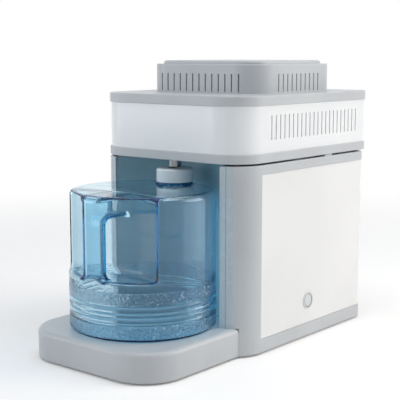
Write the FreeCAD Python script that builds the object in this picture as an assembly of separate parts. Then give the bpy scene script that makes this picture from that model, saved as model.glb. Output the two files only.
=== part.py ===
import FreeCAD, Part
import math
import os

os.makedirs("parts", exist_ok=True)

# The machine is drawn with X to the right, Y to the rear and Z up from the worktop.
# While it is drawn, Y starts at the head's front face. The saved pieces are moved so
# that the origin lies on the worktop under the middle of the whole outline.

# Head and cabinet outline
body_width = 240.0
cabinet_depth = 285.0
head_overhang = 6.0
front_corner_radius = 44.0
rear_corner_radius = 12.0

# Heights above the worktop, one on top of the other
foot_height = 2.0
base_band_height = 18.0
side_panel_height = 205.8
cabinet_band_height = 11.4
seam_gap = 2.2
lower_band_height = 11.6
white_wall_height = 57.4
upper_band_height = 12.4
shroud_height = 36.7
shroud_lid_height = 4.6

# Cabinet mouldings and panels
cabinet_wall = 4.0
panel_seat_depth = 1.8
panel_thickness = 1.2
panel_front = 43.0
panel_joint = 0.3
rear_corner_return = 25.0
window_margin = 12.0
pan_thickness = 3.0
fitting_gap = 0.2
deck_thickness = 3.0
deck_drop = 2.2
rear_vent_count = 14
rear_vent_pitch = 9.0
rear_vent_width = 2.4
rear_vent_height = 46.0
rear_vent_level = 150.0
pan_vent_count = 4
pan_vent_pitch = 40.0
pan_vent_length = 24.0
pan_vent_width = 4.0
pan_vent_setback = 38.0

# Platform in front of the cabinet
platform_step = 12.3
platform_lip = 15.8
platform_top = 38.0
platform_corner_radius = 53.0
platform_edge_radius = 6.0
platform_wall = 3.0
foot_radius = 9.0
foot_boss_radius = 11.0
front_foot_inset = 33.0
rear_foot_inset = 22.0

# Alcove behind the jug
jug_room = 8.1
alcove_wall = 3.0
alcove_lap = 3.9
trim_width = 15.0
trim_groove_width = 1.2
trim_groove_depth = 0.8

# Water jug
jug_side_room = 29.1
spout_setback = 19.7
jug_floor_gap = 0.2
jug_head_room = 31.9
jug_shoulder_radius = 8.0
jug_heel_radius = 5.0
jug_wall = 2.0
rib_levels = (42.1, 35.0, 29.6, 22.8, 19.7)
rib_groove_radius = 0.9
recess_low = 70.0
recess_top_room = 3.3
recess_edge_depth = 38.9
recess_deep_depth = 51.9
recess_slant = 42.5
recess_corner_radius = 8.0
grip_width = 30.0
grip_thickness = 15.0
grip_web_room = 27.5
grip_edge_radius = 5.0
neck_inset = 29.9
neck_radius = 20.3
neck_wall = 2.5
neck_height = 16.0

# Cap and filter of the jug
cap_radius = 23.4
cap_lift = 3.5
cap_height = 16.8
cap_top_thickness = 2.2
cap_clearance = 0.1
cap_hole_radius = 7.0
cap_edge_radius = 2.5
seal_thickness = 1.2
filter_radius = 15.6
filter_wall = 1.5
filter_depth = 29.0
filter_hole_radius = 1.2
filter_hole_circle = 8.0
carbon_height = 14.0
carbon_play = 0.2

# Boiler, its well and heater
boiler_wall = 1.0
boiler_rim_width = 5.0
boiler_floor_level = 45.0
boiler_hole_play = 2.0
boiler_corner_radius = 6.0
well_room = 9.0
well_side_room = 18.8
well_wall = 1.2
well_air = 5.0
well_bottom = 20.0
heater_inset = 15.0
heater_thickness = 8.0
element_inset = 20.0
element_tube_radius = 4.0
element_leg_x = 12.0
element_leg_length = 11.0
stand_count = 3
stand_inset = 6.0
stand_radius = 4.0
thermostat_radius = 8.0
thermostat_height = 10.0
cutout_radius = 6.0
cutout_height = 7.0
cutout_offset = 25.0

# Head mouldings
band_proud = 1.75
head_band_wall = 3.0
head_floor_thickness = 3.0
head_wall_thickness = 2.5
head_deck_thickness = 3.0
head_edge_radius = 1.5
band_edge_radius = 1.2
cabinet_edge_radius = 1.5
foot_edge_radius = 2.5
wall_slot_count = 22
wall_slot_first = 64.2
wall_slot_rear_room = 31.3
wall_slot_width = 2.0
wall_slot_rise = 15.5
wall_slot_length = 30.0

# Fan shroud on the head
shroud_side_inset = 28.0
shroud_front = 67.4
shroud_rear_inset = 38.7
shroud_corner_radius = 35.0
shroud_wall = 2.5
shroud_lid_inset = 9.5
shroud_lid_radius = 3.5
shroud_edge_radius = 1.2
shroud_slot_width = 2.0
shroud_slot_rise = 2.0
shroud_slot_length = 22.6
front_slot_count = 13
front_slot_pitch = 10.6
side_slot_count = 10
side_slot_pitch = 10.0

# Steam path
dome_flange_width = 8.0
dome_shoulder = 16.0
dome_rise = 10.0
dome_sheet = 1.2
gasket_lap = 4.0
gasket_gap = 0.3
coil_tube_radius = 5.0
coil_tube_wall = 0.8
coil_side_room = 36.0
coil_row_count = 8
coil_row_pitch = 24.0
coil_rise = 36.6
fin_count = 8
fin_end_margin = 12.0
fin_thickness = 0.8
fin_margin = 12.0
fin_hole_clearance = 0.05
hanger_thickness = 1.5
nozzle_radius = 8.0
nozzle_drop = 10.4
nozzle_height = 27.0
nozzle_flange_radius = 14.0
nozzle_flange_thickness = 2.0
nozzle_clearance = 0.1

# Fan
fan_opening_margin = 14.0
fan_blade_gap = 10.0
fan_hub_radius = 15.0
fan_hub_height = 15.0
fan_blade_count = 7
fan_blade_chord = 24.0
fan_blade_thickness = 1.6
fan_blade_pitch = 34.0
fan_running_gap = 1.0
motor_radius = 20.0
motor_height = 13.0
motor_shaft_radius = 2.5
shaft_clearance = 0.05
spider_arm_width = 9.0
spider_thickness = 2.0
spider_seat = 5.0

# Hinges at the back
hinge_axis_drop = 3.7
hinge_barrel_proud = 0.5
hinge_barrel_radius = 3.5
hinge_pin_radius = 1.6
hinge_pin_clearance = 0.05
hinge_length = 50.0
hinge_end_inset = 5.0
hinge_knuckle_gap = 0.3
hinge_leaf_thickness = 1.5
hinge_leaf_height = 18.0
pad_centre_y = 191.5
pad_length = 17.0
pad_width = 3.2
pad_gap = 0.3

# Electrical parts
inlet_from_side = 54.0
inlet_level = 52.0
inlet_width = 27.0
inlet_height = 20.0
inlet_socket_width = 24.0
inlet_socket_height = 17.0
inlet_socket_depth = 16.0
inlet_body_depth = 20.0
inlet_flange_width = 50.0
inlet_flange_thickness = 2.0
inlet_screw_spacing = 40.0
inlet_pin_spacing = 14.0
inlet_pin_offset = 5.0
inlet_pin_width = 2.0
inlet_pin_height = 4.0
inlet_pin_length = 26.0
button_from_side = 58.0
button_level = 52.0
button_radius = 8.0
button_clearance = 0.1
button_proud = 4.0
button_depth = 12.0
button_travel = 3.0
bezel_radius = 11.0
bezel_thickness = 1.5
switch_width = 20.0
switch_depth = 12.0
stem_radius = 3.0
stem_length = 8.0
terminal_length = 28.0
terminal_depth = 18.0
terminal_height = 12.0
lead_radius = 1.5
lead_bend = 5.0
badge_radius = 11.3
badge_y = 147.6
badge_level = 50.0
badge_thickness = 0.6
badge_groove_radius = 8.6
badge_groove_width = 0.8
badge_groove_depth = 0.3
screw_head_radius = 3.2
screw_head_height = 1.6
screw_slot_width = 0.9
screw_slot_depth = 0.7

# Levels and places that follow from the sizes above
base_underside = foot_height
panel_bottom = base_underside + base_band_height
panel_top = panel_bottom + side_panel_height
cabinet_top = panel_top + cabinet_band_height
head_bottom = cabinet_top + seam_gap
white_wall_low = head_bottom + lower_band_height
white_wall_high = white_wall_low + white_wall_height
head_top = white_wall_high + upper_band_height
shroud_top = head_top + shroud_height
half_width = body_width / 2
head_depth = cabinet_depth + head_overhang
wall_slot_pitch = (head_depth - wall_slot_rear_room - wall_slot_first) / (wall_slot_count - 1)
inner_half_width = half_width - cabinet_wall
inner_front_radius = front_corner_radius - cabinet_wall
inner_rear_radius = rear_corner_radius - cabinet_wall
inner_rear = cabinet_depth - cabinet_wall
cover_outer = cabinet_depth - panel_seat_depth + panel_thickness
cover_inner = cabinet_depth - panel_seat_depth
panel_outer = half_width - panel_seat_depth + panel_thickness
panel_split = half_width - rear_corner_return
jug_radius = half_width - jug_side_room
jug_axis_y = spout_setback + neck_inset - jug_radius
alcove_radius = jug_radius + jug_room
alcove_half_opening = jug_radius - alcove_lap
trim_half_reach = alcove_half_opening + trim_width
platform_half_width = half_width - platform_step
platform_front = jug_axis_y - jug_radius - platform_lip
platform_rear = jug_axis_y + alcove_radius + alcove_wall
boiler_axis_y = (platform_rear + inner_rear) / 2
bay_half_depth = (inner_rear - platform_rear) / 2
well_radius = min(bay_half_depth - well_room, half_width - well_side_room)
boiler_radius = well_radius - well_wall - well_air
heater_radius = boiler_radius - heater_inset
element_ring_radius = heater_radius - element_inset
stand_circle = heater_radius - stand_inset
dome_opening_radius = boiler_radius + boiler_rim_width
dome_flange_radius = dome_opening_radius + dome_flange_width
dome_radius = dome_opening_radius - dome_shoulder
gasket_inner_radius = boiler_radius - gasket_lap
shroud_half_width = half_width - shroud_side_inset
shroud_rear = head_depth - shroud_rear_inset
fan_opening_radius = shroud_half_width - fan_opening_margin
fan_blade_reach = fan_opening_radius - fan_blade_gap
coil_half_length = half_width - coil_side_room
fin_pitch = (coil_half_length - fin_end_margin) / (fin_count / 2)
inlet_x = half_width - inlet_from_side
button_x = button_from_side - half_width
pan_top = base_underside + pan_thickness
deck_top = cabinet_top - deck_drop
deck_low = deck_top - deck_thickness
boiler_top = deck_top + panel_thickness
jug_bottom = platform_top + jug_floor_gap
jug_top = head_bottom - jug_head_room
neck_y = spout_setback
recess_edge_y = recess_edge_depth - jug_radius
recess_deep_y = recess_deep_depth - jug_radius
recess_edge_x = math.sqrt(jug_radius ** 2 - recess_edge_y ** 2)
recess_deep_x = recess_edge_x - recess_slant
neck_top = jug_top + neck_height
cap_low = jug_top + cap_lift
cap_high = cap_low + cap_height
cap_ceiling = cap_high - cap_top_thickness
head_floor_top = head_bottom + head_floor_thickness
dome_flange_top = head_floor_top + dome_sheet
dome_top = head_floor_top + dome_rise
head_deck_low = head_top - head_deck_thickness
shroud_middle = (shroud_front + shroud_rear) / 2
spider_top = head_deck_low
motor_top = spider_top + motor_height
hub_low = motor_top + fan_running_gap
coil_level = head_bottom + coil_rise
coil_top_level = coil_level + coil_row_pitch
coil_first_row = boiler_axis_y + (coil_row_count - 1) * coil_row_pitch / 2
coil_last_row = boiler_axis_y - (coil_row_count - 1) * coil_row_pitch / 2
fin_low = coil_level - fin_margin
fin_high = coil_level + fin_margin
heater_underside = boiler_floor_level - heater_thickness
element_level = heater_underside - element_tube_radius
hinge_axis_y = head_depth + hinge_leaf_thickness + hinge_barrel_proud - hinge_barrel_radius
hinge_axis_z = cabinet_top - hinge_axis_drop
machine_rear = head_depth + hinge_leaf_thickness + screw_head_height
frame_shift = FreeCAD.Vector(0, -(platform_front + machine_rear) / 2, 0)

up = FreeCAD.Vector(0, 0, 1)
to_right = FreeCAD.Vector(1, 0, 0)
to_rear = FreeCAD.Vector(0, 1, 0)


def at(x, y, z):
    return FreeCAD.Vector(x, y, z)


def save(node, shape):
    placed = shape.copy()
    placed.translate(frame_shift)
    placed.exportStep("parts/" + node + ".step")


def group(solids):
    return Part.makeCompound(solids)


def one(shape):
    return shape.Solids[0]


def block(x_low, x_high, y_low, y_high, z_low, z_high):
    return Part.makeBox(x_high - x_low, y_high - y_low, z_high - z_low, at(x_low, y_low, z_low))


def disc(x, y, radius, low, high):
    return Part.makeCylinder(radius, high - low, at(x, y, low), up)


def ring(x, y, outer_radius, inner_radius, low, high):
    return disc(x, y, outer_radius, low, high).cut(disc(x, y, inner_radius, low - 1, high + 1))


def rod(start, direction, radius, length):
    return Part.makeCylinder(radius, length, start, direction)


def merge(first, others):
    whole = first
    for other in others:
        whole = whole.fuse(other)
    return whole.removeSplitter()


def corner_arc(centre_x, centre_y, radius, start_degrees, level):
    points = []
    for turn in (0, 45, 90):
        angle = math.radians(start_degrees + turn)
        points.append(at(centre_x + radius * math.cos(angle), centre_y + radius * math.sin(angle), level))
    return Part.Arc(points[0], points[1], points[2]).toShape()


def outline_block(half, front, rear, front_radius, rear_radius, low, high):
    """A block whose plan is a rectangle with one radius at the front and one at the rear."""
    corners = (
        corner_arc(-half + front_radius, front + front_radius, front_radius, 180, low),
        corner_arc(half - front_radius, front + front_radius, front_radius, 270, low),
        corner_arc(half - rear_radius, rear - rear_radius, rear_radius, 0, low),
        corner_arc(-half + rear_radius, rear - rear_radius, rear_radius, 90, low),
    )
    edges = []
    for number, corner in enumerate(corners):
        following = corners[(number + 1) % len(corners)]
        edges.append(corner)
        edges.append(Part.makeLine(corner.lastVertex(True).Point, following.firstVertex(True).Point))
    face = Part.Face(Part.Wire(edges))
    return face.extrude(at(0, 0, high - low))


def cabinet_block(inset, low, high):
    return outline_block(half_width - inset, inset, cabinet_depth - inset,
                         front_corner_radius - inset, rear_corner_radius - inset, low, high)


def head_block(inset, low, high):
    return outline_block(half_width - inset, inset, head_depth - inset,
                         front_corner_radius - inset, rear_corner_radius - inset, low, high)


def shroud_block(inset, low, high):
    return outline_block(shroud_half_width - inset, shroud_front + inset, shroud_rear - inset,
                         shroud_corner_radius - inset, shroud_corner_radius - inset, low, high)


def level_edges(shape, level):
    """The edges of a shape that lie flat at one height."""
    found = []
    for edge in shape.Edges:
        box = edge.BoundBox
        if abs(box.ZMin - level) < 0.01 and abs(box.ZMax - level) < 0.01:
            found.append(edge)
    return found


def bent_path(points, bend):
    """Straight runs between the points, with each corner rounded by a tangent arc."""
    edges = []
    start = points[0]
    for number in range(1, len(points) - 1):
        corner = points[number]
        back = (points[number - 1] - corner).normalize()
        ahead = (points[number + 1] - corner).normalize()
        half_angle = back.getAngle(ahead) / 2
        reach = bend / math.tan(half_angle)
        inward = (back + ahead).normalize()
        middle = corner + inward * (bend / math.sin(half_angle) - bend)
        enter = corner + back * reach
        leave = corner + ahead * reach
        if start.distanceToPoint(enter) > 0.001:
            edges.append(Part.makeLine(start, enter))
        edges.append(Part.Arc(enter, middle, leave).toShape())
        start = leave
    edges.append(Part.makeLine(start, points[-1]))
    return Part.Wire(edges)


def bent_rod(points, bend, radius):
    path = bent_path(points, bend)
    direction = points[1] - points[0]
    section = Part.Wire([Part.makeCircle(radius, points[0], direction)])
    return path.makePipeShell([section], True, False)


def screw_head(place, outward):
    """A pan head with a straight slot, standing on the face at its place."""
    head = rod(place, outward, screw_head_radius, screw_head_height)
    slot = Part.makeBox(screw_head_radius * 3, screw_slot_width, screw_slot_depth * 2,
                        at(-screw_head_radius * 1.5, -screw_slot_width / 2, -screw_slot_depth))
    slot.Placement = FreeCAD.Placement(place + outward * screw_head_height,
                                       FreeCAD.Rotation(up, outward)).multiply(slot.Placement)
    return one(head.cut(slot))


# Platform, base pan and feet

def platform_block(grow):
    return outline_block(platform_half_width + grow, platform_front - grow, platform_rear + grow,
                         platform_corner_radius + grow, platform_edge_radius, base_underside, platform_top)


def front_foot_places():
    x = platform_half_width - front_foot_inset
    y = platform_front + front_foot_inset
    return [(-x, y), (x, y)]


def rear_foot_places():
    x = half_width - rear_foot_inset
    rear = cabinet_depth - rear_foot_inset
    front = platform_rear + rear_foot_inset
    return [(-x, front), (x, front), (-x, rear), (x, rear)]


def make_base_platform():
    shell = platform_block(0)
    top_edges = level_edges(shell, platform_top)
    shell = shell.makeFillet(platform_edge_radius, top_edges)
    shell = shell.makeFillet(foot_edge_radius, level_edges(shell, base_underside))
    hollow = outline_block(platform_half_width - platform_wall, platform_front + platform_wall,
                           platform_rear - platform_wall, platform_corner_radius - platform_wall,
                           platform_edge_radius - platform_wall, base_underside - 1,
                           platform_top - platform_wall)
    shell = shell.cut(hollow)
    bosses = []
    for x, y in front_foot_places():
        bosses.append(disc(x, y, foot_boss_radius, base_underside, platform_top - platform_wall))
    rib_span = platform_half_width - platform_wall / 2
    for y in (jug_axis_y - jug_radius / 2, jug_axis_y, jug_axis_y + jug_radius / 2):
        bosses.append(block(-rib_span, rib_span, y - platform_wall / 2, y + platform_wall / 2,
                            panel_bottom, platform_top - platform_wall / 2))
    return one(merge(shell, bosses))


def make_base_pan():
    pan = cabinet_block(cabinet_wall + fitting_gap, base_underside, pan_top)
    front_cut = block(-half_width, half_width, -1, platform_rear + fitting_gap,
                      base_underside - 1, pan_top + 1)
    pan = pan.cut(front_cut)
    vent_y = boiler_axis_y - pan_vent_setback
    for number in range(pan_vent_count):
        x = (number - (pan_vent_count - 1) / 2) * pan_vent_pitch
        vent = block(x - pan_vent_length / 2, x + pan_vent_length / 2, vent_y - pan_vent_width / 2,
                     vent_y + pan_vent_width / 2, base_underside - 1, pan_top + 1)
        pan = pan.cut(vent)
    return one(pan)


def make_rubber_feet():
    feet = []
    for x, y in front_foot_places() + rear_foot_places():
        foot = disc(x, y, foot_radius, 0, base_underside)
        feet.append(one(foot.makeChamfer(foot_height / 4, level_edges(foot, 0))))
    return group(feet)


# Cabinet

def soft_cabinet_block(low):
    """The cabinet's outline with its top edge rounded."""
    outer = cabinet_block(0, low, cabinet_top)
    return outer.makeFillet(cabinet_edge_radius, level_edges(outer, cabinet_top))


def make_cabinet_frame():
    outer = soft_cabinet_block(base_underside)
    outer = outer.makeFillet(foot_edge_radius, level_edges(outer, base_underside))
    frame = outer.cut(cabinet_block(cabinet_wall, base_underside - 1, cabinet_top + 1))
    band = block(-body_width, body_width, panel_front, cabinet_depth * 2, panel_bottom, panel_top)
    seat = band.cut(cabinet_block(panel_seat_depth, base_underside - 1, cabinet_top + 1))
    frame = frame.cut(seat)
    side_window = block(-body_width, body_width, panel_front + window_margin,
                        inner_rear - window_margin, panel_bottom + window_margin,
                        panel_top - window_margin)
    rear_window = block(-panel_split + window_margin / 2, panel_split - window_margin / 2,
                        inner_rear - 1, cabinet_depth + 1, panel_bottom + window_margin,
                        panel_top - window_margin)
    front_opening = block(-trim_half_reach, trim_half_reach, -1, front_corner_radius,
                          base_underside - 1, cabinet_top + 1)
    frame = frame.cut(side_window).cut(rear_window).cut(front_opening)
    return one(frame.cut(platform_block(fitting_gap)).removeSplitter())


def make_side_panel(side):
    sheet = cabinet_block(panel_seat_depth - panel_thickness, panel_bottom + panel_joint,
                          panel_top - panel_joint)
    sheet = sheet.cut(cabinet_block(panel_seat_depth, base_underside, cabinet_top))
    keep = block(panel_split, body_width, panel_front + panel_joint, cabinet_depth * 2,
                 base_underside, cabinet_top)
    panel = one(sheet.common(keep))
    if side < 0:
        panel = panel.mirror(at(0, 0, 0), to_right)
    return panel


def make_rear_cover():
    reach = panel_split - panel_joint
    cover = block(-reach, reach, cover_inner, cover_outer, panel_bottom + panel_joint,
                  panel_top - panel_joint)
    first = -(rear_vent_count - 1) * rear_vent_pitch / 2
    for number in range(rear_vent_count):
        x = first + number * rear_vent_pitch
        cover = cover.cut(block(x - rear_vent_width / 2, x + rear_vent_width / 2, cover_inner - 1,
                                cover_outer + 1, rear_vent_level, rear_vent_level + rear_vent_height))
    inlet_hole = block(inlet_x - inlet_width / 2 - fitting_gap, inlet_x + inlet_width / 2 + fitting_gap,
                       cover_inner - 1, cover_outer + 1, inlet_level - inlet_height / 2 - fitting_gap,
                       inlet_level + inlet_height / 2 + fitting_gap)
    button_hole = rod(at(button_x, cover_inner - 1, button_level), to_rear,
                      button_radius + button_clearance, panel_thickness + 2)
    return one(cover.cut(inlet_hole).cut(button_hole))


def make_alcove_liner():
    wall = ring(0, jug_axis_y, alcove_radius + alcove_wall, alcove_radius, platform_top, cabinet_top)
    inside = cabinet_block(cabinet_wall, platform_top, cabinet_top)
    return one(wall.common(inside))


def make_alcove_trim(side):
    strip = soft_cabinet_block(platform_top).cut(
        cabinet_block(cabinet_wall, platform_top - 1, cabinet_top + 1))
    keep = block(alcove_half_opening, trim_half_reach, -1, front_corner_radius,
                 platform_top - 1, cabinet_top + 1)
    strip = strip.common(keep)
    groove_x = (alcove_half_opening + trim_half_reach) / 2
    groove = block(groove_x - trim_groove_width / 2, groove_x + trim_groove_width / 2, -1,
                   front_corner_radius, platform_top - 1, cabinet_top + 1)
    behind = cabinet_block(trim_groove_depth, platform_top - 2, cabinet_top + 2)
    strip = one(strip.cut(groove.cut(behind)))
    if side < 0:
        strip = strip.mirror(at(0, 0, 0), to_right)
    return strip


def make_deck_plate():
    plate = cabinet_block(cabinet_wall + fitting_gap, deck_low, deck_top)
    plate = plate.cut(disc(0, jug_axis_y, alcove_radius + alcove_wall + fitting_gap,
                           deck_low - 1, deck_top + 1))
    plate = plate.cut(disc(0, boiler_axis_y, boiler_radius + boiler_hole_play,
                           deck_low - 1, deck_top + 1))
    return max(plate.Solids, key=lambda solid: solid.Volume)


def make_seam_pads():
    pads = []
    for side in (-1, 1):
        middle = side * (half_width - cabinet_wall / 2)
        pads.append(block(middle - pad_width / 2, middle + pad_width / 2,
                          pad_centre_y - pad_length / 2, pad_centre_y + pad_length / 2,
                          cabinet_top, head_bottom - pad_gap))
    return group(pads)


def make_badge():
    disc_face = rod(at(panel_outer, badge_y, badge_level), to_right, badge_radius, badge_thickness)
    outer = rod(at(panel_outer + badge_thickness - badge_groove_depth, badge_y, badge_level), to_right,
                badge_groove_radius, 1)
    inner = rod(at(panel_outer, badge_y, badge_level), to_right,
                badge_groove_radius - badge_groove_width, 2)
    return one(disc_face.cut(outer.cut(inner)))


# Boiler and heater

def make_boiler_well():
    return one(ring(0, boiler_axis_y, well_radius, well_radius - well_wall, well_bottom, deck_low))


def make_boiler_pot():
    outer = disc(0, boiler_axis_y, boiler_radius, boiler_floor_level, boiler_top)
    outer = outer.makeFillet(boiler_corner_radius, level_edges(outer, boiler_floor_level))
    inner_floor = boiler_floor_level + boiler_wall
    inner = disc(0, boiler_axis_y, boiler_radius - boiler_wall, inner_floor, boiler_top + 1)
    inner = inner.makeFillet(boiler_corner_radius - boiler_wall, level_edges(inner, inner_floor))
    rim = disc(0, boiler_axis_y, boiler_radius + boiler_rim_width, deck_top, boiler_top)
    return one(merge(outer, [rim]).cut(inner))


def make_heater_plate():
    plate = disc(0, boiler_axis_y, heater_radius, heater_underside, boiler_floor_level)
    return one(plate.makeChamfer(1, level_edges(plate, heater_underside)))


def element_leg_y():
    return boiler_axis_y + math.sqrt(element_ring_radius ** 2 - element_leg_x ** 2)


def make_heating_element():
    loop = Part.makeTorus(element_ring_radius, element_tube_radius, at(0, boiler_axis_y, element_level), up)
    legs = []
    for side in (-1, 1):
        legs.append(disc(side * element_leg_x, element_leg_y(), element_tube_radius - 1,
                         element_level - element_leg_length, element_level))
    return one(merge(loop, legs))


def make_heater_stands():
    stands = []
    for number in range(stand_count):
        angle = math.radians(90 + 180 / stand_count + number * 360 / stand_count)
        x = stand_circle * math.cos(angle)
        y = boiler_axis_y + stand_circle * math.sin(angle)
        foot = disc(x, y, stand_radius * 2, pan_top, pan_top + stand_radius / 2)
        stands.append(one(merge(disc(x, y, stand_radius, pan_top, heater_underside), [foot])))
    return group(stands)


def make_thermostat():
    low = heater_underside - thermostat_height
    body = disc(0, boiler_axis_y, thermostat_radius, low, heater_underside)
    tabs = []
    for side in (-1, 1):
        x = side * thermostat_radius / 2
        tabs.append(block(x - 0.4, x + 0.4, boiler_axis_y - 3, boiler_axis_y + 3, low - 6, low))
    return one(merge(body, tabs))


def make_thermal_cutout():
    return one(disc(cutout_offset, boiler_axis_y, cutout_radius, heater_underside - cutout_height,
                    heater_underside))


# Electrical parts

def make_power_inlet():
    flange_outer = cover_outer + inlet_flange_thickness
    body = block(inlet_x - inlet_width / 2, inlet_x + inlet_width / 2, cover_outer - inlet_body_depth,
                 cover_outer, inlet_level - inlet_height / 2, inlet_level + inlet_height / 2)
    flange = block(inlet_x - inlet_flange_width / 2, inlet_x + inlet_flange_width / 2, cover_outer,
                   flange_outer, inlet_level - inlet_height / 2 - 1, inlet_level + inlet_height / 2 + 1)
    socket = block(inlet_x - inlet_socket_width / 2, inlet_x + inlet_socket_width / 2,
                   flange_outer - inlet_socket_depth, flange_outer + 1,
                   inlet_level - inlet_socket_height / 2, inlet_level + inlet_socket_height / 2)
    shell = merge(body, [flange]).cut(socket)
    for x, z in inlet_pin_places():
        shell = shell.cut(inlet_pin(x, z))
    return one(shell)


def inlet_pin_places():
    half_spacing = inlet_pin_spacing / 2
    low = inlet_level - inlet_pin_offset / 2 + 1
    return [(inlet_x - half_spacing, low), (inlet_x, low + inlet_pin_offset), (inlet_x + half_spacing, low)]


def inlet_pin(x, z):
    front = cover_outer - 2
    return block(x - inlet_pin_width / 2, x + inlet_pin_width / 2, front - inlet_pin_length, front,
                 z - inlet_pin_height / 2, z + inlet_pin_height / 2)


def make_inlet_pins():
    pins = []
    for x, z in inlet_pin_places():
        pins.append(inlet_pin(x, z))
    return group(pins)


def make_inlet_screws():
    screws = []
    for side in (-1, 1):
        x = inlet_x + side * inlet_screw_spacing / 2
        screws.append(screw_head(at(x, cover_outer + inlet_flange_thickness, inlet_level), to_rear))
    return group(screws)


def make_button_bezel():
    place = at(button_x, cover_outer, button_level)
    bezel = rod(place, to_rear, bezel_radius, bezel_thickness)
    hole = rod(at(button_x, cover_outer - 1, button_level), to_rear,
               button_radius + button_clearance, bezel_thickness + 2)
    return one(bezel.cut(hole))


def button_back():
    return cover_outer + button_proud - button_depth


def switch_face():
    return button_back() - button_travel - fitting_gap


def make_start_button():
    back = button_back()
    body = rod(at(button_x, back, button_level), to_rear, button_radius, button_depth)
    front_edges = []
    for edge in body.Edges:
        if edge.BoundBox.YMin > back + button_depth - 0.01:
            front_edges.append(edge)
    body = body.makeFillet(1, front_edges)
    stem = rod(at(button_x, back - stem_length, button_level), to_rear, stem_radius, stem_length + 1)
    return one(merge(body, [stem]))


def make_start_switch():
    """The switch is clipped to a skirt behind the cover, round the button."""
    half = switch_width / 2
    face = switch_face()
    body = block(button_x - half, button_x + half, face - switch_depth, cover_inner,
                 button_level - half, button_level + half)
    button_bore = rod(at(button_x, face, button_level), to_rear, button_radius + button_clearance,
                      cover_outer - face)
    stem_bore_length = stem_length + button_travel + 1
    stem_bore = rod(at(button_x, button_back() - stem_bore_length, button_level), to_rear,
                    stem_radius + button_clearance, stem_bore_length)
    return one(body.cut(button_bore).cut(stem_bore))


def terminal_front():
    return element_leg_y() - terminal_depth / 2


def make_terminal_block():
    y = terminal_front()
    body = block(inlet_x - terminal_length / 2, inlet_x + terminal_length / 2, y, y + terminal_depth,
                 pan_top, pan_top + terminal_height)
    for x, z in inlet_pin_places():
        body = body.cut(disc(x, y + terminal_depth / 2, 1.8, pan_top + terminal_height - 3,
                             pan_top + terminal_height + 1))
    return one(body)


def make_lead_wires():
    """Three leads from the inlet to the terminal block, and two on to the element."""
    wires = []
    block_rear = terminal_front() + terminal_depth
    wire_level = pan_top + terminal_height / 2
    tab_y = cover_outer - 2 - inlet_pin_length + 2
    for x, z in inlet_pin_places():
        points = [at(x, tab_y, z - inlet_pin_height / 2), at(x, tab_y, wire_level),
                  at(x, block_rear, wire_level)]
        wires.append(one(bent_rod(points, lead_bend, lead_radius)))
    block_side = inlet_x - terminal_length / 2
    leg_end = element_level - element_leg_length
    near_y = element_leg_y()
    far_y = near_y + terminal_depth / 2 - lead_radius * 2
    low_level = pan_top + lead_radius * 2
    near = [at(block_side, near_y, wire_level), at(element_leg_x, near_y, wire_level),
            at(element_leg_x, near_y, leg_end)]
    far = [at(block_side, far_y, low_level), at(-element_leg_x, far_y, low_level),
           at(-element_leg_x, near_y, low_level), at(-element_leg_x, near_y, leg_end)]
    wires.append(one(bent_rod(near, lead_bend, lead_radius)))
    wires.append(one(bent_rod(far, lead_bend / 2, lead_radius)))
    return group(wires)


# Head

def make_head_base():
    outer = head_block(0, head_bottom, white_wall_low)
    outer = outer.makeFillet(band_edge_radius, level_edges(outer, head_bottom))
    outer = outer.makeFillet(band_edge_radius, level_edges(outer, white_wall_low))
    tray = outer.cut(head_block(head_band_wall, head_floor_top, white_wall_low + 1))
    tray = tray.cut(disc(0, boiler_axis_y, dome_opening_radius, head_bottom - 1, head_floor_top + 1))
    return one(tray.cut(disc(0, neck_y, nozzle_radius + nozzle_clearance, head_bottom - 1, head_floor_top + 1)))


def make_head_wall():
    wall = head_block(band_proud, white_wall_low, white_wall_high)
    wall = wall.cut(head_block(band_proud + head_wall_thickness, white_wall_low - 1, white_wall_high + 1))
    slot_low = white_wall_low + wall_slot_rise
    for number in range(wall_slot_count):
        y = wall_slot_first + number * wall_slot_pitch
        wall = wall.cut(block(-body_width, body_width, y - wall_slot_width / 2, y + wall_slot_width / 2,
                              slot_low, slot_low + wall_slot_length))
    return one(wall)


def make_head_top():
    lid = head_block(0, white_wall_high, head_top)
    lid = lid.makeFillet(head_edge_radius, level_edges(lid, head_top))
    lid = lid.makeFillet(band_edge_radius, level_edges(lid, white_wall_high))
    lid = lid.cut(head_block(head_band_wall, white_wall_high - 1, head_deck_low))
    return one(lid.cut(disc(0, shroud_middle, fan_opening_radius, head_deck_low - 1, head_top + 1)))


def make_fan_shroud():
    shroud = shroud_block(0, head_top, shroud_top)
    shroud = shroud.makeFillet(shroud_edge_radius, level_edges(shroud, shroud_top))
    shroud = shroud.cut(shroud_block(shroud_wall, head_top - 1, shroud_top - shroud_wall))
    slot_low = head_top + shroud_slot_rise
    slot_high = slot_low + shroud_slot_length
    half_slot = shroud_slot_width / 2
    for number in range(front_slot_count):
        x = (number - (front_slot_count - 1) / 2) * front_slot_pitch
        shroud = shroud.cut(block(x - half_slot, x + half_slot, shroud_front - 1, shroud_rear + 1,
                                  slot_low, slot_high))
    for number in range(side_slot_count):
        y = shroud_middle + (number - (side_slot_count - 1) / 2) * side_slot_pitch
        shroud = shroud.cut(block(-body_width, body_width, y - half_slot, y + half_slot,
                                  slot_low, slot_high))
    return one(shroud)


def make_shroud_lid():
    lid = shroud_block(shroud_lid_inset, shroud_top, shroud_top + shroud_lid_height)
    lid = lid.makeFillet(shroud_lid_radius, level_edges(lid, shroud_top + shroud_lid_height))
    under = shroud_block(shroud_lid_inset + shroud_wall, shroud_top - 1,
                         shroud_top + shroud_lid_height - shroud_wall)
    return one(lid.cut(under))


# Steam dome, condenser and spout

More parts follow.
